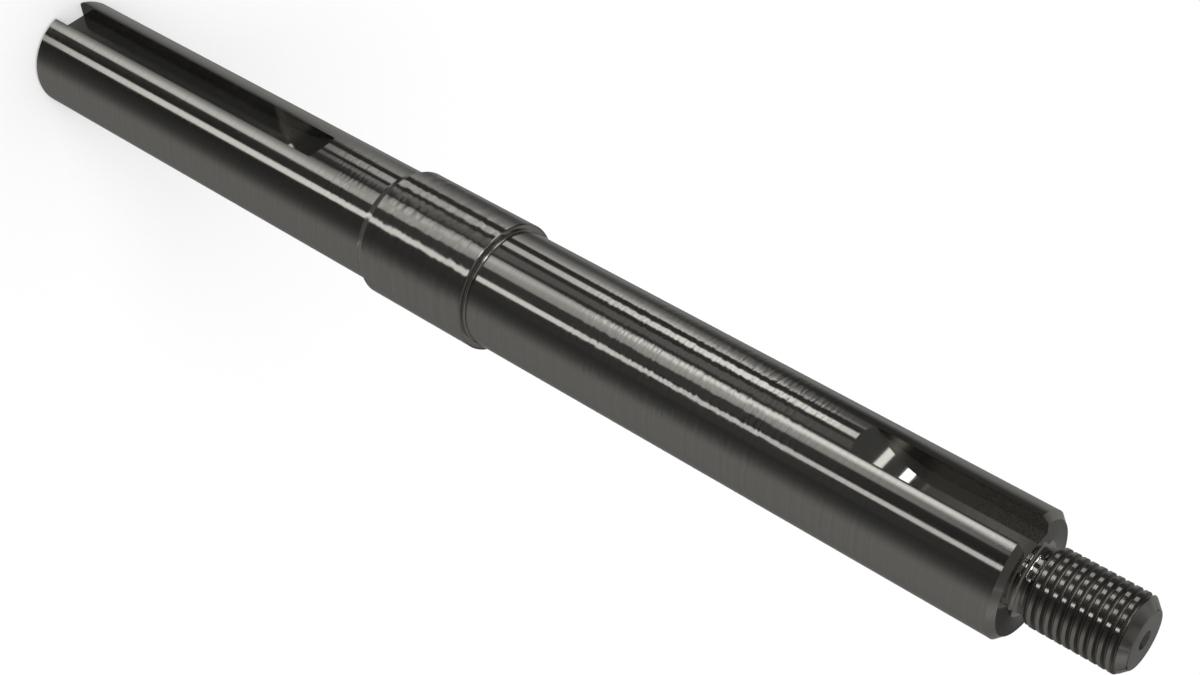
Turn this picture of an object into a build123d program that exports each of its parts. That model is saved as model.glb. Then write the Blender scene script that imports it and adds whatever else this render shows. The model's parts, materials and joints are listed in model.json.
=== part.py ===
from build123d import *
import os
from math import radians, sqrt, tan

# A stepped drive shaft, turned, ground and milled from one steel bar: two keyed journals, one on
# each side of a collar, and a threaded stud at one end.
#
# Frame: the axis is Z and the shaft stands on its plain end, whose face is z = 0. The stud is on
# top. Both keyways are milled on the +X side, in one setting.

INCH = 25.4

# Diameters and radial steps.
JOURNAL_D = 0.625 * INCH
COLLAR_RISE = 0.03125 * INCH
STUD_D = 0.375 * INCH
NECK_D = 0.315 * INCH

# Lengths along the axis, in order from the plain end.
PLAIN_JOURNAL_L = 66.9
COLLAR_L = 0.6875 * INCH
STUD_JOURNAL_L = 77.4
STUD_L = 13.73

# The long chamfer that leads up to the collar from the plain journal, measured from the axis.
LEAD_ANGLE = 30

# The ground journal ends in a narrow undercut at the foot of the collar's square face.
UNDERCUT_W = 0.64
UNDERCUT_DEPTH = 0.2
UNDERCUT_FILLET = 0.25

# The relief groove between the shoulder and the thread, with its 45 degree way out. Its fillet
# ends outside the stud's own radius, so a washer passed over the stud lies flat on the shoulder.
NECK_W = 2.0
NECK_FILLET = 0.8

# Chamfers at 45 degrees.
PLAIN_END_CHAMFER = 0.5
COLLAR_EDGE_BREAK = 0.15
SHOULDER_CHAMFER = 0.8
STUD_CHAMFER = 1.15

# Keyways for a 3/16 inch key, cut by a disc cutter that leaves a run-out as round as itself.
KEY_W = 0.1875 * INCH
KEYWAY_DEPTH = 2.77
PLAIN_KEYWAY_L = 54.2
STUD_KEYWAY_L = 22.9
CUTTER_D = 1.375 * INCH
CUTTER_OVERRUN = 1.0

# Centre-drilled holes in both end faces.
CENTRE_MOUTH_D = 2.4
CENTRE_PILOT_D = 1.2
CENTRE_DEPTH = 2.6
CENTRE_CONE_ANGLE = 60
DRILL_POINT_ANGLE = 118

# Radii and heights that follow from the sizes above.
journal_r = JOURNAL_D / 2
collar_r = journal_r + COLLAR_RISE
stud_r = STUD_D / 2
neck_r = NECK_D / 2
undercut_r = journal_r - UNDERCUT_DEPTH

collar_z = PLAIN_JOURNAL_L + COLLAR_RISE / tan(radians(LEAD_ANGLE))
step_z = collar_z + COLLAR_L
shoulder_z = step_z + STUD_JOURNAL_L
tip_z = shoulder_z + STUD_L

cutter_r = CUTTER_D / 2
cutter_x = journal_r - KEYWAY_DEPTH + cutter_r
run_out = sqrt(cutter_r**2 - (cutter_r - KEYWAY_DEPTH) ** 2)

with BuildPart() as shaft:
    # The turned form: one half section, spun about the axis.
    with BuildSketch(Plane.XZ) as half_section:
        with BuildLine():
            Polyline(
                (0, 0),
                (journal_r - PLAIN_END_CHAMFER, 0),
                (journal_r, PLAIN_END_CHAMFER),
                (journal_r, PLAIN_JOURNAL_L),
                (collar_r, collar_z),
                (collar_r, step_z - COLLAR_EDGE_BREAK),
                (collar_r - COLLAR_EDGE_BREAK, step_z),
                (undercut_r, step_z),
                (undercut_r, step_z + UNDERCUT_W - UNDERCUT_DEPTH),
                (journal_r, step_z + UNDERCUT_W),
                (journal_r, shoulder_z - SHOULDER_CHAMFER),
                (journal_r - SHOULDER_CHAMFER, shoulder_z),
                (neck_r, shoulder_z),
                (neck_r, shoulder_z + NECK_W - (stud_r - neck_r)),
                (stud_r, shoulder_z + NECK_W),
                (stud_r, tip_z - STUD_CHAMFER),
                (stud_r - STUD_CHAMFER, tip_z),
                (0, tip_z),
                close=True,
            )
        make_face()
        for foot, radius in (
            ((undercut_r, step_z), UNDERCUT_FILLET),
            ((neck_r, shoulder_z), NECK_FILLET),
        ):
            fillet(half_section.vertices().sort_by_distance(foot)[0], radius)
    revolve(axis=Axis.Z)

    # Two keyways in line, each open through its own end: the disc cutter plunges at the blind end
    # and runs straight out past the face.
    for blind_z, open_z, outward in (
        (PLAIN_KEYWAY_L, 0, -1),
        (shoulder_z - STUD_KEYWAY_L, shoulder_z, 1),
    ):
        plunge_z = blind_z + outward * run_out
        exit_z = open_z + outward * CUTTER_OVERRUN
        with BuildSketch(Plane.XZ):
            with Locations((cutter_x, plunge_z)):
                Circle(cutter_r)
            with Locations((cutter_x, (plunge_z + exit_z) / 2)):
                Rectangle(CUTTER_D, abs(exit_z - plunge_z))
        extrude(amount=KEY_W / 2, both=True, mode=Mode.SUBTRACT)

    # The centre holes that carried the shaft between centres while it was turned and ground.
    mouth_r = CENTRE_MOUTH_D / 2
    pilot_r = CENTRE_PILOT_D / 2
    cone_depth = (mouth_r - pilot_r) / tan(radians(CENTRE_CONE_ANGLE / 2))
    point_depth = pilot_r / tan(radians(DRILL_POINT_ANGLE / 2))
    for face_z, inward in ((0, 1), (tip_z, -1)):
        with BuildSketch(Plane.XZ):
            with BuildLine():
                Polyline(
                    (0, face_z),
                    (mouth_r, face_z),
                    (pilot_r, face_z + inward * cone_depth),
                    (pilot_r, face_z + inward * CENTRE_DEPTH),
                    (0, face_z + inward * (CENTRE_DEPTH + point_depth)),
                    close=True,
                )
            make_face()
        revolve(axis=Axis.Z, mode=Mode.SUBTRACT)

shaft.part.label = "shaft"

os.makedirs("parts", exist_ok=True)
export_step(shaft.part, "parts/shaft.step")
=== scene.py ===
import json
from math import cos, pi, radians, sin, sqrt, tan

import bmesh
import bpy
from mathutils import Matrix, Vector


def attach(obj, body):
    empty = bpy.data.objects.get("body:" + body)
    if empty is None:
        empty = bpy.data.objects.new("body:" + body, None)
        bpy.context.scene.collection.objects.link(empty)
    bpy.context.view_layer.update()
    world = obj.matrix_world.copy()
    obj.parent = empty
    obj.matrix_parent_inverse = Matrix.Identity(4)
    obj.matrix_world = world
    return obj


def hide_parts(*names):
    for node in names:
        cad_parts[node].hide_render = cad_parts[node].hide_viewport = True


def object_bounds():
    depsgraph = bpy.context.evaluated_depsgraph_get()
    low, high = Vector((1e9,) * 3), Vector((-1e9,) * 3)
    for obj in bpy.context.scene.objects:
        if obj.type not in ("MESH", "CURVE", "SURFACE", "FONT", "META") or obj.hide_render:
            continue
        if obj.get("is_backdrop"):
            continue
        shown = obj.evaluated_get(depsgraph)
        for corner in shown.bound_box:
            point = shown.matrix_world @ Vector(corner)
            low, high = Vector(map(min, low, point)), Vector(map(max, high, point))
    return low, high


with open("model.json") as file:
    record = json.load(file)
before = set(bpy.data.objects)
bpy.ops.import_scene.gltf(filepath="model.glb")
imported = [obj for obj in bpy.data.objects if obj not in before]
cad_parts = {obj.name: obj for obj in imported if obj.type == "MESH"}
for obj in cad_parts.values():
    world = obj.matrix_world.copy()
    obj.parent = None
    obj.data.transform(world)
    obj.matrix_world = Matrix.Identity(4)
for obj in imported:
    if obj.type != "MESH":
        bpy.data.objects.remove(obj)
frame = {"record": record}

cad_low, cad_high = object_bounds()


# ---------------------------------------------------------------------------------------------
# The turned blank. One bar of bright steel, turned between centres: two ground journals with a
# collar between them, an undercut at the collar's foot and a stud left standing at one end.
# ---------------------------------------------------------------------------------------------
MM = 0.001
SIDES = 384

mounts = {mount["name"]: mount for mount in frame["record"]["mounts"]}
journal_r = mounts["plain_journal"]["dims"]["r_mm"] * MM
stud_r = mounts["threaded_stud"]["dims"]["r_mm"] * MM
step_z = mounts["collar_step"]["pos_m"][2]
shoulder_z = mounts["stud_shoulder"]["pos_m"][2]
collar_r = cad_high.x
tip_z = cad_high.z

plain_journal_l = 66.9 * MM
lead_angle = radians(30)
lead_l = (collar_r - journal_r) / tan(lead_angle)
collar_z = plain_journal_l + lead_l
plain_chamfer = 0.5 * MM
collar_edge = 0.25 * MM
undercut_w = 0.64 * MM
undercut_depth = 0.2 * MM
undercut_r = journal_r - undercut_depth
undercut_fillet = 0.25 * MM
shoulder_chamfer = 0.8 * MM
neck_r = 4.0005 * MM
neck_w = 2.0 * MM
neck_fillet = 0.8 * MM
stud_chamfer = 1.15 * MM
stud_edge = 0.6 * MM
face_edge = 0.3 * MM
centre_mouth_r = 1.2 * MM
centre_pilot_r = 0.6 * MM
centre_depth = 2.6 * MM
centre_half_angle = radians(30)
drill_half_angle = radians(59)
centre_cone = (centre_mouth_r - centre_pilot_r) / tan(centre_half_angle)
centre_point = centre_pilot_r / tan(drill_half_angle)
shading_gap = 0.02 * MM  # a ring this near a round keeps the round's shading off the wall beside it


def corner_arc(corner_r, corner_z, radius, steps=8):
    """The quarter round at an inner corner, from the level face in to the wall that rises there."""
    turns = [radians(-90 - 90 * step / steps) for step in range(steps + 1)]
    return [
        (corner_r + radius + radius * cos(turn), corner_z + radius + radius * sin(turn))
        for turn in turns
    ]


def edge_arc(edge_r, edge_z, radius, lower=0, upper=90, steps=6):
    """The round on an outer edge, between surfaces that face this far up from level, in degrees."""
    middle, half = radians((lower + upper) / 2), radians((upper - lower) / 2)
    centre_r = edge_r - radius / cos(half) * cos(middle)
    centre_z = edge_z - radius / cos(half) * sin(middle)
    turns = [radians(lower + (upper - lower) * step / steps) for step in range(steps + 1)]
    return [(centre_r + radius * cos(turn), centre_z + radius * sin(turn)) for turn in turns]


half_section = [
    (0, centre_depth + centre_point),
    (centre_pilot_r, centre_depth),
    (centre_pilot_r, centre_cone),
    (centre_mouth_r, 0),
    (journal_r - plain_chamfer, 0),
    (journal_r, plain_chamfer),
    (journal_r, plain_journal_l),
    (collar_r, collar_z),
    (collar_r, step_z - collar_edge - shading_gap),
    *edge_arc(collar_r, step_z, collar_edge),
    *corner_arc(undercut_r, step_z, undercut_fillet),
    (undercut_r, step_z + undercut_w - (journal_r - undercut_r)),
    (journal_r, step_z + undercut_w),
    (journal_r, shoulder_z - shoulder_chamfer),
    (journal_r - shoulder_chamfer, shoulder_z),
    *corner_arc(neck_r, shoulder_z, neck_fillet, steps=14),
    (neck_r, shoulder_z + neck_fillet + shading_gap),
    (neck_r, shoulder_z + neck_w - (stud_r - neck_r)),
    (stud_r, shoulder_z + neck_w),
    *edge_arc(stud_r, tip_z - stud_chamfer, stud_edge, upper=45, steps=10),
    *edge_arc(stud_r - stud_chamfer, tip_z, face_edge, lower=45),
    (stud_r - stud_chamfer - face_edge, tip_z),
    (centre_mouth_r, tip_z),
    (centre_pilot_r, tip_z - centre_cone),
    (centre_pilot_r, tip_z - centre_depth),
    (0, tip_z - centre_depth - centre_point),
]


def mesh_object(name, bm):
    """A new object in the scene from this mesh, with its faces turned outward."""
    bmesh.ops.recalc_face_normals(bm, faces=bm.faces)
    mesh = bpy.data.meshes.new(name)
    bm.to_mesh(mesh)
    bm.free()
    piece = bpy.data.objects.new(name, mesh)
    bpy.context.scene.collection.objects.link(piece)
    return piece


def lathe(name, section):
    """A closed turned solid: the section's first and last points lie on the axis."""
    bm = bmesh.new()
    rings = []
    for radius, height in section:
        if radius == 0:
            rings.append([bm.verts.new((0, 0, height))] * SIDES)
        else:
            turns = [2 * pi * side / SIDES for side in range(SIDES)]
            rings.append([bm.verts.new((radius * cos(t), radius * sin(t), height)) for t in turns])
    for lower, upper in zip(rings, rings[1:]):
        for side in range(SIDES):
            after = (side + 1) % SIDES
            corners = [lower[side], lower[after], upper[after], upper[side]]
            bm.faces.new(list(dict.fromkeys(corners)))
    return mesh_object(name, bm)


shaft = lathe("stepped_shaft", half_section)


# ---------------------------------------------------------------------------------------------
# The keyways. A disc cutter as wide as the key plunges just short of each blind end and runs
# straight out through the end face, so the blind end keeps the cutter's own roundness.
# ---------------------------------------------------------------------------------------------
key_w = 4.7625 * MM
cutter_r = 17.4625 * MM
cutter_overrun = 1.0 * MM
rim_degrees = 60
rim_steps = 96
floor_x = mounts["plain_keyway"]["pos_m"][0]
keyway_depth = journal_r - floor_x
cutter_x = floor_x + cutter_r
run_out = sqrt(cutter_r**2 - (cutter_r - keyway_depth) ** 2)
plain_keyway_l = 54.2 * MM
stud_keyway_l = 22.9 * MM


def prism(name, outline, half_width):
    """A closed plate with this outline in x and z. Its two flat sides have the second finish."""
    bm = bmesh.new()
    near = [bm.verts.new((x, -half_width, z)) for x, z in outline]
    far = [bm.verts.new((x, half_width, z)) for x, z in outline]
    for side in (near, far):
        bm.faces.new(side).material_index = 1
    for at in range(len(outline)):
        after = (at + 1) % len(outline)
        bm.faces.new((near[at], near[after], far[after], far[at]))
    return mesh_object(name, bm)


def keyway_cutter(name, blind_z, open_z):
    """The space that the disc sweeps, from its plunge to past the open end."""
    outward = 1 if open_z > blind_z else -1
    plunge_z = blind_z + outward * run_out
    exit_z = open_z + outward * cutter_overrun
    turns = [radians(rim_degrees * step / rim_steps) for step in range(rim_steps + 1)]
    rim = [
        (cutter_x - cutter_r * cos(turn), plunge_z - outward * cutter_r * sin(turn))
        for turn in turns
    ]
    top_x = rim[-1][0]
    return prism(name, [*rim, (top_x, exit_z), (floor_x, exit_z)], key_w / 2)


def cut(piece, tool):
    """Takes the tool's space out of the piece and keeps the result as the piece's own mesh."""
    difference = piece.modifiers.new("cut", "BOOLEAN")
    difference.operation = "DIFFERENCE"
    difference.solver = "EXACT"
    difference.material_mode = "TRANSFER"
    difference.object = tool
    depsgraph = bpy.context.evaluated_depsgraph_get()
    result = bpy.data.meshes.new_from_object(piece.evaluated_get(depsgraph))
    piece.modifiers.clear()
    piece.data = result
    bpy.data.objects.remove(tool)


# ---------------------------------------------------------------------------------------------
# The thread. A fine right-hand thread, 24 turns to the inch, cut on the stud from the relief
# neck out through the chamfered tip, with a rounded root.
# ---------------------------------------------------------------------------------------------
pitch = 25.4 * MM / 24
thread_depth = 0.4273 * pitch
groove_half_w = 0.26 * pitch
root_r = 0.1443 * pitch
root_steps = 8
root_half_degrees = 60
thread_half_angle = radians(30)
cutter_lift = 0.3 * MM
thread_turn_steps = 96
thread_start_z = shoulder_z + 0.72 * MM
thread_end_z = tip_z + 0.62 * pitch
crest_z = 165.57 * MM
crest_azimuth = radians(39.8)


def groove_section():
    """The groove across one turn, as (radius, height) pairs round its own middle."""
    minor_r = stud_r - thread_depth
    mouth = groove_half_w + cutter_lift * tan(thread_half_angle)
    bends = [
        radians(-root_half_degrees + 2 * root_half_degrees * step / root_steps)
        for step in range(root_steps + 1)
    ]
    root = [(minor_r + root_r - root_r * cos(bend), root_r * sin(bend)) for bend in bends]
    return [(stud_r + cutter_lift, -mouth), *root, (stud_r + cutter_lift, mouth)]


def thread_cutter(name):
    """The groove's section carried along its helix, closed at both ends."""
    bm = bmesh.new()
    section = groove_section()
    turns_to_start = (thread_start_z - crest_z) / pitch - 0.5
    first = crest_azimuth + 2 * pi * turns_to_start
    steps = round((thread_end_z - thread_start_z) / pitch * thread_turn_steps)
    stations = []
    for step in range(steps + 1):
        turn = first + 2 * pi * step / thread_turn_steps
        middle = thread_start_z + pitch * step / thread_turn_steps
        stations.append(
            [bm.verts.new((r * cos(turn), r * sin(turn), middle + z)) for r, z in section]
        )
    for here, there in zip(stations, stations[1:]):
        for at in range(len(section)):
            after = (at + 1) % len(section)
            bm.faces.new((here[at], here[after], there[after], there[at]))
    bm.faces.new(stations[0])
    bm.faces.new(stations[-1])
    return mesh_object(name, bm)


# ---------------------------------------------------------------------------------------------
# The steel. Bare bright steel with the lay of the tool round the axis: coarse on the collar, which
# was only turned, and faint on the ground journals, apart from two stretches of chatter. The
# keyways are milled. Their walls carry painted shade as a dark colour, lightened by painted light
# along the stud keyway, and the thread's groove and the centre holes carry painted shade as a
# darker colour too.
# ---------------------------------------------------------------------------------------------
def shader_group(name, inputs, outputs):
    """An empty node group with inputs (label, kind, value) and outputs (label, kind)."""
    group = bpy.data.node_groups.new(name, "ShaderNodeTree")
    for label, kind, value in inputs:
        socket = group.interface.new_socket(name=label, in_out="INPUT", socket_type=kind)
        socket.default_value = value
    for label, kind in outputs:
        group.interface.new_socket(name=label, in_out="OUTPUT", socket_type=kind)
    return group, group.nodes.new("NodeGroupInput"), group.nodes.new("NodeGroupOutput")


def add_node(tree, kind, **settings):
    """A node with its properties, and its unlinked inputs given as in_NAME or in_INDEX."""
    node = tree.nodes.new(kind)
    for key, value in settings.items():
        if key.startswith("in_"):
            slot = key[3:]
            node.inputs[int(slot) if slot.isdigit() else slot].default_value = value
        else:
            setattr(node, key, value)
    return node


def make_tool_lay():
    """Rings left by the tool. Lines is how close they lie, Wander how broken, Depth how deep."""
    group, given, result = shader_group(
        "tool_lay",
        [
            ("Lines", "NodeSocketFloat", 1200.0),
            ("Wander", "NodeSocketFloat", 4.0),
            ("Depth", "NodeSocketFloat", 0.5),
        ],
        [("Height", "NodeSocketFloat"), ("Rings", "NodeSocketFloat"), ("Smear", "NodeSocketFloat")],
    )
    link = group.links.new
    place = add_node(group, "ShaderNodeTexCoord")
    split = add_node(group, "ShaderNodeSeparateXYZ")
    link(place.outputs["Object"], split.inputs[0])
    flat = add_node(group, "ShaderNodeCombineXYZ")
    link(split.outputs["X"], flat.inputs["X"])
    link(split.outputs["Y"], flat.inputs["Y"])
    radius = add_node(group, "ShaderNodeVectorMath", operation="LENGTH")
    link(flat.outputs[0], radius.inputs[0])
    outward = add_node(group, "ShaderNodeVectorMath", operation="NORMALIZE")
    link(flat.outputs[0], outward.inputs[0])
    along = add_node(group, "ShaderNodeMath", operation="ADD")
    link(split.outputs["Z"], along.inputs[0])
    link(radius.outputs["Value"], along.inputs[1])
    across = add_node(group, "ShaderNodeMath", operation="MULTIPLY")
    link(along.outputs[0], across.inputs[0])
    link(given.outputs["Lines"], across.inputs[1])
    rise = add_node(group, "ShaderNodeCombineXYZ")
    link(across.outputs[0], rise.inputs["Z"])
    wander = add_node(group, "ShaderNodeVectorMath", operation="SCALE")
    link(outward.outputs[0], wander.inputs[0])
    link(given.outputs["Wander"], wander.inputs["Scale"])
    lay = add_node(group, "ShaderNodeVectorMath", operation="ADD")
    link(wander.outputs[0], lay.inputs[0])
    link(rise.outputs[0], lay.inputs[1])
    lines = add_node(group, "ShaderNodeTexNoise", in_Scale=1.0, in_Detail=1.0, in_Roughness=0.5)
    link(lay.outputs[0], lines.inputs["Vector"])
    height = add_node(group, "ShaderNodeMath", operation="MULTIPLY")
    link(lines.outputs["Fac"], height.inputs[0])
    link(given.outputs["Depth"], height.inputs[1])
    rings = add_node(group, "ShaderNodeTexNoise", in_Scale=1.0, in_Detail=2.0, in_Roughness=0.6)
    rings.noise_dimensions = "1D"
    link(across.outputs[0], rings.inputs["W"])
    smear = add_node(group, "ShaderNodeTexNoise", in_Scale=160.0, in_Detail=4.0, in_Roughness=0.55)
    link(place.outputs["Object"], smear.inputs["Vector"])
    link(height.outputs[0], result.inputs["Height"])
    link(rings.outputs["Fac"], result.inputs["Rings"])
    link(smear.outputs["Fac"], result.inputs["Smear"])
    return group


tool_lay = make_tool_lay()


def make_stretch():
    """1 along the length between From and To, in metres up from the plain end, and 0 elsewhere."""
    group, given, result = shader_group(
        "stretch",
        [
            ("From", "NodeSocketFloat", 0.0),
            ("To", "NodeSocketFloat", 0.1),
            ("Fade", "NodeSocketFloat", 0.004),
        ],
        [("Mask", "NodeSocketFloat")],
    )
    link = group.links.new
    place = add_node(group, "ShaderNodeTexCoord")
    split = add_node(group, "ShaderNodeSeparateXYZ")
    link(place.outputs["Object"], split.inputs[0])
    ends = []
    for label, sign in (("From", 1), ("To", -1)):
        past = add_node(group, "ShaderNodeMath", operation="SUBTRACT")
        link(split.outputs["Z"] if sign == 1 else given.outputs[label], past.inputs[0])
        link(given.outputs[label] if sign == 1 else split.outputs["Z"], past.inputs[1])
        share = add_node(group, "ShaderNodeMath", operation="DIVIDE", use_clamp=True)
        link(past.outputs[0], share.inputs[0])
        link(given.outputs["Fade"], share.inputs[1])
        ends.append(share)
    both = add_node(group, "ShaderNodeMath", operation="MULTIPLY")
    link(ends[0].outputs[0], both.inputs[0])
    link(ends[1].outputs[0], both.inputs[1])
    link(both.outputs[0], result.inputs["Mask"])
    return group


stretch = make_stretch()


def steel(name, colour, roughness, spread, lines, wander, depth, anisotropic=0.0, metallic=1.0):
    """A bare steel finish. Its roughness varies in smears, by up to spread above roughness."""
    ring_shade = 0.84
    bump_height = 0.01 * MM
    smear_low = 0.3
    smear_high = 0.7
    quarter_turn = 0.25
    material = bpy.data.materials.new(name)
    material.use_nodes = True
    tree, link = material.node_tree, material.node_tree.links.new
    surface = tree.nodes["Principled BSDF"]
    surface.inputs["Metallic"].default_value = metallic
    surface.inputs["Anisotropic"].default_value = anisotropic
    lay = add_node(tree, "ShaderNodeGroup", node_tree=tool_lay, in_Lines=lines, in_Wander=wander)
    lay.inputs["Depth"].default_value = depth
    tone = add_node(tree, "ShaderNodeMix", data_type="RGBA", in_6=colour, in_7=colour)
    tone.inputs[7].default_value = [ring_shade * share for share in colour[:3]] + [1]
    link(lay.outputs["Rings"], tone.inputs[0])
    link(tone.outputs[2], surface.inputs["Base Color"])
    rough = add_node(tree, "ShaderNodeMapRange", in_1=smear_low, in_2=smear_high)
    rough.inputs[3].default_value = roughness
    rough.inputs[4].default_value = roughness + spread
    link(lay.outputs["Smear"], rough.inputs[0])
    link(rough.outputs[0], surface.inputs["Roughness"])
    bump = add_node(tree, "ShaderNodeBump", in_Strength=1.0, in_Distance=bump_height)
    link(lay.outputs["Height"], bump.inputs["Height"])
    link(bump.outputs[0], surface.inputs["Normal"])
    if anisotropic:
        surface.inputs["Anisotropic Rotation"].default_value = quarter_turn
        round_axis = add_node(tree, "ShaderNodeTangent", direction_type="RADIAL", axis="Z")
        link(round_axis.outputs[0], surface.inputs["Tangent"])
    return material


def chatter(material, stretches, depth):
    """Deepens a finish's rings to this depth along stretches given as (low, high, fade, weight)."""
    tree, link = material.node_tree, material.node_tree.links.new
    lay = next(node for node in tree.nodes if node.type == "GROUP" and node.node_tree == tool_lay)
    share = None
    for low, high, fade, weight in stretches:
        mask = add_node(
            tree, "ShaderNodeGroup", node_tree=stretch, in_From=low, in_To=high, in_Fade=fade
        )
        part = add_node(tree, "ShaderNodeMath", operation="MULTIPLY_ADD", in_1=weight, in_2=0.0)
        link(mask.outputs["Mask"], part.inputs[0])
        if share:
            link(share, part.inputs[2])
        share = part.outputs[0]
    shallow = lay.inputs["Depth"].default_value
    deeper = add_node(tree, "ShaderNodeMapRange", in_3=shallow, in_4=depth)
    link(share, deeper.inputs[0])
    link(deeper.outputs[0], lay.inputs["Depth"])


def refinish_and_paint_light(material, low, high, fade, roughness, shade):
    """Gives a finish this roughness along one stretch, and multiplies its colour there by this shade:
    above 1 that is painted light.
    """
    tree, link = material.node_tree, material.node_tree.links.new
    surface = tree.nodes["Principled BSDF"]
    mask = add_node(
        tree, "ShaderNodeGroup", node_tree=stretch, in_From=low, in_To=high, in_Fade=fade
    )
    rough = add_node(tree, "ShaderNodeMix", data_type="FLOAT", in_3=roughness)
    link(mask.outputs["Mask"], rough.inputs[0])
    link(surface.inputs["Roughness"].links[0].from_socket, rough.inputs[2])
    link(rough.outputs[0], surface.inputs["Roughness"])
    painted_light_tint = add_node(tree, "ShaderNodeMix", data_type="RGBA", blend_type="MULTIPLY")
    painted_light_tint.inputs[7].default_value = (shade, shade, shade, 1)
    link(mask.outputs["Mask"], painted_light_tint.inputs[0])
    link(surface.inputs["Base Color"].links[0].from_socket, painted_light_tint.inputs[6])
    link(painted_light_tint.outputs[2], surface.inputs["Base Color"])


BRIGHT = (0.60, 0.585, 0.54, 1)
ground_steel = steel(
    "ground_steel", BRIGHT, roughness=0.10, spread=0.03,
    lines=1900, wander=4, depth=0.06, anisotropic=0.6,
)
chatter_by_collar = (55 * MM, 68 * MM, 6 * MM, 0.5)
chatter_by_stud_keyway = (97 * MM, 139 * MM, 9 * MM, 1.0)
chatter(ground_steel, [chatter_by_collar, chatter_by_stud_keyway], depth=3.4)
collar_steel = steel(
    "collar_steel", BRIGHT, roughness=0.11, spread=0.03,
    lines=800, wander=3, depth=5.0, anisotropic=0.6,
)
faced_steel = steel(
    "faced_steel", BRIGHT, roughness=0.12, spread=0.03,
    lines=2600, wander=3, depth=0.12, anisotropic=0.3,
)
neck_steel = steel(
    "neck_steel", BRIGHT, roughness=0.06, spread=0.02,
    lines=2000, wander=3, depth=0.05, anisotropic=0.3,
)
# Painted shade: the thread's groove and the centre holes get a darker colour than the bright steel.
groove_steel_painted_shade = steel(
    "groove_steel_painted_shade", (0.36, 0.35, 0.32, 1), roughness=0.30, spread=0.1,
    lines=2000, wander=2, depth=0.1,
)
milled_steel = steel(
    "milled_steel", (0.56, 0.55, 0.50, 1), roughness=0.06, spread=0.02,
    lines=900, wander=3, depth=0.05, metallic=0.955,
)
# Painted shade: the keyway walls get a dark colour for the shade inside the slots.
keyway_wall_painted_shade = steel(
    "keyway_wall_painted_shade", (0.14, 0.137, 0.123, 1), roughness=0.05, spread=0.01,
    lines=900, wander=3, depth=0.03, metallic=0.99,
)
refinish_and_paint_light(keyway_wall_painted_shade, 41.5 * MM, 62 * MM, fade=3 * MM, roughness=0.4, shade=1.0)
# Painted light: along the stud keyway the walls' colour is lightened 1.6 times.
refinish_and_paint_light(keyway_wall_painted_shade, 138 * MM, 170 * MM, fade=1 * MM, roughness=0.25, shade=1.6)

blank_finishes = [faced_steel, ground_steel, collar_steel, groove_steel_painted_shade, neck_steel]
near_enough = 0.01 * MM
wall_tilt = 0.1


def blank_finish(face):
    """The finish of one face of the turned blank, from its place and the way it faces."""
    middle = face.center
    radius = Vector((middle.x, middle.y)).length
    # The centre holes take the groove's painted shade.
    if radius < centre_mouth_r:
        return groove_steel_painted_shade
    if shoulder_z + near_enough < middle.z < shoulder_z + neck_w and radius < stud_r:
        return neck_steel
    if abs(face.normal.z) < wall_tilt and abs(radius - journal_r) < near_enough:
        return ground_steel
    if abs(face.normal.z) < wall_tilt and abs(radius - collar_r) < near_enough:
        return collar_steel
    return faced_steel


for finish in blank_finishes:
    shaft.data.materials.append(finish)
for face in shaft.data.polygons:
    face.material_index = blank_finishes.index(blank_finish(face))

for name, blind_z, open_z in (
    ("plain_keyway_cutter", plain_keyway_l, 0.0),
    ("stud_keyway_cutter", shoulder_z - stud_keyway_l, shoulder_z),
):
    tool = keyway_cutter(name, blind_z, open_z)
    tool.data.materials.append(milled_steel)
    tool.data.materials.append(keyway_wall_painted_shade)
    cut(shaft, tool)

tool = thread_cutter("thread_cutter")
tool.data.materials.append(groove_steel_painted_shade)
cut(shaft, tool)

sharp_angle = radians(22)
for face in shaft.data.polygons:
    face.use_smooth = True
shaft.data.set_sharp_from_angle(angle=sharp_angle)

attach(shaft, "root")
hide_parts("shaft")


# ---------------------------------------------------------------------------------------------
# The studio. A wide white floor that keeps the shaft's shadow, one soft sun lamp high over it,
# and a plain white surround.
# ---------------------------------------------------------------------------------------------
def seen_directly(tree):
    """1 for the camera, for mirrored rays and for rays through glass, and 0 for the rest."""
    paths = add_node(tree, "ShaderNodeLightPath")
    mirrored = add_node(tree, "ShaderNodeMath", operation="MAXIMUM")
    seen = add_node(tree, "ShaderNodeMath", operation="MAXIMUM")
    tree.links.new(paths.outputs["Is Glossy Ray"], mirrored.inputs[0])
    tree.links.new(paths.outputs["Is Transmission Ray"], mirrored.inputs[1])
    tree.links.new(paths.outputs["Is Camera Ray"], seen.inputs[0])
    tree.links.new(mirrored.outputs[0], seen.inputs[1])
    return seen.outputs[0]


floor_half_w = 6.0
floor_glow = 0.3
surround_light = 0.6
surround_seen = 1.0

bm = bmesh.new()
bmesh.ops.create_grid(bm, x_segments=1, y_segments=1, size=floor_half_w)
floor = mesh_object("floor", bm)
floor_finish = bpy.data.materials.new("floor_finish")
floor_finish.use_nodes = True
tree, link = floor_finish.node_tree, floor_finish.node_tree.links.new
surface = tree.nodes["Principled BSDF"]
surface.inputs["Base Color"].default_value = (0.8, 0.8, 0.8, 1)
surface.inputs["Roughness"].default_value = 0.9
surface.inputs["Specular IOR Level"].default_value = 0.0
surface.inputs["Emission Color"].default_value = (1, 1, 1, 1)
glow = add_node(tree, "ShaderNodeMath", operation="MULTIPLY", in_1=floor_glow)
link(seen_directly(tree), glow.inputs[0])
link(glow.outputs[0], surface.inputs["Emission Strength"])
floor.data.materials.append(floor_finish)
floor.visible_glossy = False
floor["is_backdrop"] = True

world = bpy.data.worlds.new("studio")
bpy.context.scene.world = world
world.use_nodes = True
tree, link = world.node_tree, world.node_tree.links.new
sky = tree.nodes["Background"]
sky.inputs["Color"].default_value = (1, 1, 1, 1)
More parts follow.
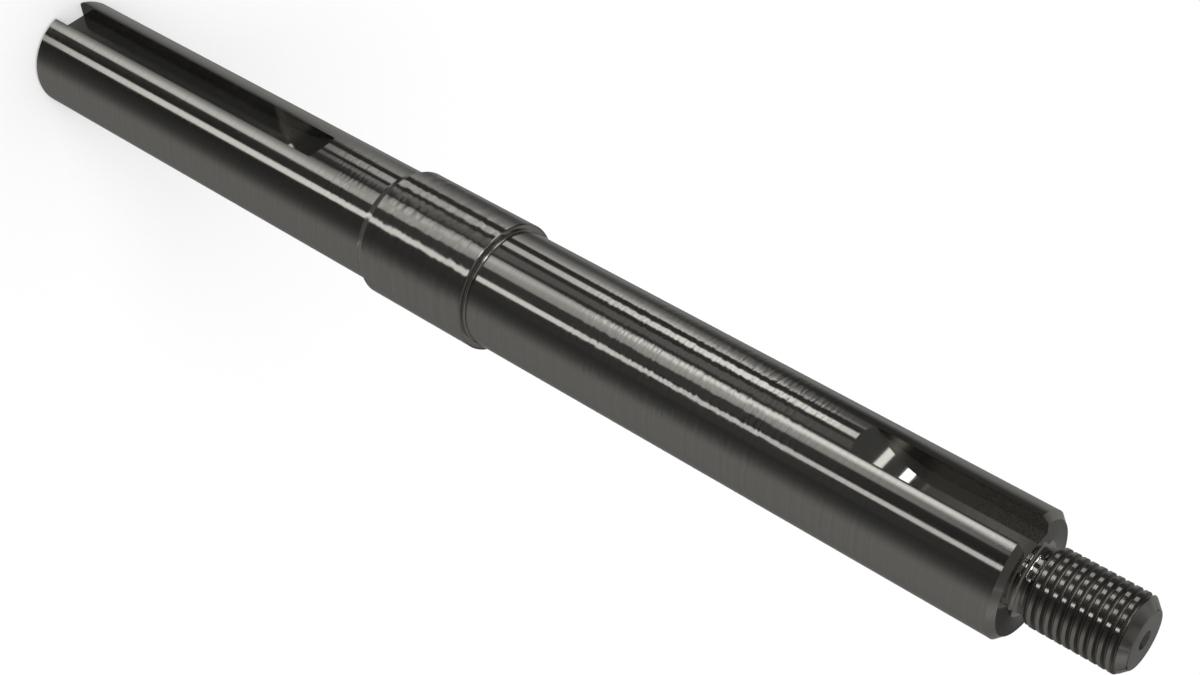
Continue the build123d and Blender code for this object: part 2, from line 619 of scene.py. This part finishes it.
level = add_node(tree, "ShaderNodeMapRange", in_3=surround_light, in_4=surround_seen)
link(seen_directly(tree), level.inputs[0])
link(level.outputs[0], sky.inputs["Strength"])

lamp_place = Vector((0.28, 0.2, 0.85))
lamp_aim = Vector((0, 0, 0.09))
light = bpy.data.lights.new("soft_lamp", "SUN")
light.angle = radians(30)
light.energy = 1.05
lamp = bpy.data.objects.new("soft_lamp", light)
lamp.visible_glossy = False
lamp.location = lamp_place
lamp.rotation_euler = (lamp_aim - lamp_place).to_track_quat("-Z", "Y").to_euler()
bpy.context.scene.collection.objects.link(lamp)


# ---------------------------------------------------------------------------------------------
# The tent. Dark cloth hangs all round the shaft, above and below it, with pale boards on it for
# the bright steel to mirror. It shows only in what is mirrored, and casts no shadow.
# ---------------------------------------------------------------------------------------------
def mirrored_only(piece):
    """Keeps a piece out of everything but mirrored rays, and out of the exported model."""
    piece.visible_camera = False
    piece.visible_diffuse = False
    piece.visible_transmission = False
    piece.visible_shadow = False
    piece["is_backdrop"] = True


def glowing(name):
    """Shines as strongly as the grey that its mesh carries."""
    material = bpy.data.materials.new(name)
    material.use_nodes = True
    tree = material.node_tree
    tree.nodes.remove(tree.nodes["Principled BSDF"])
    grey = add_node(tree, "ShaderNodeAttribute", attribute_name="grey")
    shine = add_node(tree, "ShaderNodeEmission")
    tree.links.new(grey.outputs["Fac"], shine.inputs["Strength"])
    tree.links.new(shine.outputs[0], tree.nodes["Material Output"].inputs["Surface"])
    return material


tent_glow = glowing("tent_glow")
tent_r = 0.9
tent_low = -1.0
tent_high = 1.2
tent_hub_r = 0.001
board_gap = 0.005
board_r = tent_r - board_gap
ground_board_z = tent_low + board_gap


def sheet_of(name, rows):
    """A sheet from rows of (radius, height, [(azimuth, grey), ...]), each as long as the others."""
    bm = bmesh.new()
    grey = bm.verts.layers.float.new("grey")
    lines = []
    for radius, height, stops in rows:
        line = []
        for azimuth, level in stops:
            turn = radians(azimuth)
            vertex = bm.verts.new((radius * cos(turn), radius * sin(turn), height))
            vertex[grey] = level
            line.append(vertex)
        lines.append(line)
    for near, far in zip(lines, lines[1:]):
        for at in range(len(near) - 1):
            bm.faces.new((near[at], near[at + 1], far[at + 1], far[at]))
    piece = mesh_object(name, bm)
    piece.data.materials.append(tent_glow)
    mirrored_only(piece)
    return piece


cloth_greys = [
    (-180, 0.15),
    (-160, 0.175),
    (-146, 0.20),
    (-114, 0.22),
    (-100, 0.20),
    (-90, 0.11),
    (-84, 0.045),
    (-60, 0.035),
    (24, 0.035),
    (30, 0.028),
    (56, 0.025),
    (64, 0.032),
    (72, 0.040),
    (80, 0.050),
    (88, 0.075),
    (96, 0.12),
    (104, 0.17),
    (112, 0.19),
    (150, 0.18),
    (180, 0.15),
]
upper_greys = [(-180, 0.18), (-100, 0.17), (-60, 0.15), (120, 0.16), (145, 0.23), (180, 0.19)]
roof_greys = [(-180, 0.10), (96, 0.10), (112, 0.23), (150, 0.20), (165, 0.10), (180, 0.10)]
ground_greys = [
    (-180, 0.2),
    (-110, 0.1),
    (-90, 0.04),
    (60, 0.04),
    (110, 0.1),
    (150, 0.2),
    (180, 0.2),
]


def hung(stops):
    """The greys all round the tent, every 4 degrees, from stops of (azimuth, grey)."""
    greys = []
    for turn in range(-180, 181, 4):
        for (from_a, from_g), (to_a, to_g) in zip(stops, stops[1:]):
            if from_a <= turn <= to_a:
                grey = from_g + (to_g - from_g) * (turn - from_a) / (to_a - from_a)
        greys.append((turn, grey))
    return greys


def even(grey):
    """The same grey all round the tent."""
    return hung([(-180, grey), (180, grey)])


sheet_of(
    "tent_cloth",
    [
        (tent_hub_r, tent_low, even(0.12)),
        (0.40, tent_low, even(0.12)),
        (0.50, tent_low, hung(ground_greys)),
        (0.85, tent_low, hung(ground_greys)),
        (tent_r, tent_low, hung(cloth_greys)),
        (tent_r, -0.5, hung(cloth_greys)),
        (tent_r, 0.0, hung(cloth_greys)),
        (tent_r, 0.65, hung(cloth_greys)),
        (tent_r, 0.9, hung(upper_greys)),
        (tent_r, tent_high, hung(upper_greys)),
        (0.6, tent_high, even(0.10)),
        (0.55, tent_high, hung(roof_greys)),
        (0.50, tent_high, even(0.085)),
        (0.35, tent_high, even(0.06)),
        (0.26, tent_high, even(0.11)),
        (tent_hub_r, tent_high, even(0.11)),
    ],
)


def board(name, rows):
    """A board on the tent's wall from rows of (height, [(azimuth, grey), ...])."""
    return sheet_of(name, [(board_r, height, stops) for height, stops in rows])


def even_board(name, rows):
    """A board on the tent's wall from rows of (height, azimuth from, azimuth to, grey)."""
    return board(name, [(height, [(low, grey), (high, grey)]) for height, low, high, grey in rows])


def strip(name, low, high, rows):
    """A straight-sided board between two azimuths, from rows of (height, grey)."""
    return even_board(name, [(height, low, high, grey) for height, grey in rows])


even_board(
    "board_narrow",
    [
        (-0.957, 39.2, 50.9, 0.97),
        (-0.70, 39.2, 50.4, 1.0),
        (-0.63, 39.6, 50.2, 1.1),
        (-0.55, 41.6, 50.1, 0.93),
        (-0.45, 41.5, 50.1, 1.05),
        (-0.32, 42.6, 49.6, 0.80),
        (-0.1175, 42.2, 49.6, 0.80),
    ],
)
board(
    "board_wide",
    [
        (-0.99, [(-3, 0.15), (0, 0.24), (4, 0.40), (8, 0.62), (12, 0.82), (19.4, 0.80)]),
        (-0.68, [(-3, 0.15), (0, 0.24), (4, 0.40), (8, 0.62), (12, 0.80), (19.4, 0.78)]),
        (-0.63, [(-5, 0.24), (0, 0.26), (4, 0.26), (8, 0.24), (12, 0.45), (21.9, 0.62)]),
        (-0.55, [(-4, 0.40), (0, 0.66), (4, 0.88), (8, 0.80), (12, 0.50), (21.7, 0.34)]),
        (-0.45, [(-2, 0.20), (0, 0.36), (4, 0.52), (8, 0.47), (12, 0.39), (22.5, 0.34)]),
        (-0.32, [(0, 0.30), (3, 1.05), (5, 1.35), (8, 1.15), (12, 0.60), (23.5, 0.44)]),
        (-0.16, [(1.5, 0.42), (3, 1.0), (5, 1.12), (8, 1.05), (14, 0.17), (22.9, 0.23)]),
        (-0.1175, [(1.5, 0.42), (3, 1.0), (5, 1.12), (8, 1.05), (14, 0.17), (22.9, 0.23)]),
    ],
)
even_board(
    "board_far",
    [
        (-0.66, -50.3, -35.0, 0.60),
        (-0.63, -50.3, -35.0, 0.62),
        (-0.55, -46.7, -34.3, 0.54),
        (-0.45, -42.9, -31.2, 0.74),
        (-0.32, -39.7, -28.6, 1.30),
        (-0.225, -38.5, -27.0, 1.3),
    ],
)
board(
    "board_side",
    [
        (-0.99, [(-112, 0.26), (-100, 0.24), (-84, 0.19), (-80, 0.13), (-76, 0.07), (-72, 0.035)]),
        (-0.69, [(-112, 0.26), (-100, 0.24), (-84, 0.19), (-80, 0.13), (-76, 0.07), (-72, 0.035)]),
        (-0.63, [(-112, 0.27), (-104, 0.18), (-90, 0.21), (-80, 0.29), (-68, 0.44), (-61.7, 0.36)]),
        (-0.55, [(-112, 0.17), (-104, 0.075), (-92, 0.085), (-80, 0.15), (-68, 0.27), (-60.5, 0.29)]),
        (-0.45, [(-112, 0.27), (-104, 0.18), (-92, 0.10), (-84, 0.11), (-70, 0.32), (-56.4, 0.66)]),
        (-0.32, [(-112, 0.23), (-104, 0.19), (-92, 0.09), (-82, 0.045), (-66, 0.26), (-52.0, 0.95)]),
        (-0.20, [(-112, 0.26), (-102, 0.24), (-95, 0.09), (-88, 0.025), (-68, 0.035), (-54, 0.035)]),
    ],
)
even_board(
    "board_weak",
    [
        (-0.67, -27.5, -19.5, 0.34),
        (-0.63, -27.5, -19.5, 0.32),
        (-0.55, -25, -6, 0.17),
        (-0.45, -21, -10, 0.12),
        (-0.32, -19, -6, 0.16),
        (-0.16, -20, -3, 0.07),
    ],
)
strip(
    "board_foot",
    -40,
    -33,
    [
        (-0.99, 0.2),
        (-0.951, 0.146),
        (-0.94, 0.08),
        (-0.925, 0.045),
        (-0.905, 0.045),
        (-0.88, 0.024),
        (-0.76, 0.024),
        (-0.735, 0.038),
        (-0.69, 0.05),
    ],
)
strip("board_low", -40, -33, [(-0.20, 0.05), (-0.17, 0.08), (-0.15, 0.12), (-0.12, 0.16)])
even_board(
    "board_dusk",
    [
        (-0.72, 24, 38, 0.03),
        (-0.63, 24, 38, 0.047),
        (-0.55, 24, 38, 0.060),
        (-0.45, 24, 38, 0.050),
        (-0.32, 25, 38, 0.068),
        (-0.20, 25, 38, 0.038),
    ],
)
board(
    "board_shade",
    [
        (-0.70, [(51.5, 0.026), (62, 0.032), (68, 0.036)]),
        (-0.60, [(51.5, 0.036), (62, 0.042), (68, 0.042)]),
        (-0.45, [(51.5, 0.042), (62, 0.048), (68, 0.044)]),
        (-0.32, [(51.5, 0.058), (62, 0.056), (68, 0.050)]),
        (-0.12, [(51.5, 0.042), (62, 0.046), (68, 0.042)]),
    ],
)
for name, low, high, low_z, high_z, grey in (
    ("board_neck", -31, -14, -0.117, -0.109, 1.8),
    ("board_spark", 4, 16, -0.1155, -0.109, 1.8),
    ("board_glint", 4, 15, 0.08, 0.33, 4.0),
    ("board_glint_far", -29, -14, 0.08, 0.25, 2.5),
    ("board_crest", 42, 49.5, -0.104, -0.04, 1.5),
    ("board_crest_wide", 2, 14, -0.104, -0.04, 0.6),
    ("board_crest_far", -31, -19, -0.104, -0.04, 0.75),
    ("board_crest_side", -63, -47, -0.104, -0.04, 0.6),
    ("board_back", -155, -133, -0.95, 0.1, 0.9),
    ("board_spot", -36.5, -32, 0.015, 0.105, 4.0),
    ("board_band", -43, 43, 0.262, 0.335, 1.35),
    ("cloth_dark", -176, -143.4, 0.41, 0.6, 0.03),
    ("cloth_dusk", -143.4, -112, 0.41, 0.6, 0.10),
    ("cloth_near", 90, 150, 0.41, 0.53, 0.08),
):
    strip(name, low, high, [(low_z, grey), (high_z, grey)])

for name, inner_r, outer_r, azimuths, grey in (
    ("board_lead", 0.08, 0.21, (42, 76), 2.0),
    ("board_ground_back", 0.56, 0.80, (-150, -138, -126), 0.8),
    ("board_ground_side", 0.56, 0.80, (-66, -55, -44), 0.8),
    ("board_ground_front", 0.56, 0.80, (8, 19, 30), 0.8),
    ("board_ground_near", 0.56, 0.80, (112, 124, 136), 0.8),
):
    row = [(azimuth, grey) for azimuth in azimuths]
    sheet_of(name, [(inner_r, ground_board_z, row), (outer_r, ground_board_z, row)])


# ---------------------------------------------------------------------------------------------
# The camera. It looks down at the shaft from the keyways' side, a quarter of a metre away, and is
# turned so that the standing shaft lies across the picture from the top left to the bottom right.
# ---------------------------------------------------------------------------------------------
camera_aim = Vector((0.13, -0.18, 101.3)) * MM
camera_distance = 257.6 * MM
camera_azimuth = radians(36.3)
camera_elevation = radians(30.36)
camera_roll = radians(118.89)
back = Vector(
    (
        cos(camera_elevation) * cos(camera_azimuth),
        cos(camera_elevation) * sin(camera_azimuth),
        sin(camera_elevation),
    )
)
level_right = Vector((-sin(camera_azimuth), cos(camera_azimuth), 0))
right = Matrix.Rotation(camera_roll, 3, back) @ level_right
up = back.cross(right)
camera_data = bpy.data.cameras.new("camera")
camera_data.lens = 62.93
camera_data.sensor_width = 36.0
camera_data.clip_start = 0.01
camera = bpy.data.objects.new("camera", camera_data)
camera.matrix_world = Matrix.Translation(camera_aim + back * camera_distance) @ Matrix(
    (right, up, back)
).transposed().to_4x4()
bpy.context.scene.collection.objects.link(camera)
bpy.context.scene.camera = camera
bpy.context.scene.view_settings.view_transform = "Standard"

low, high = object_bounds()
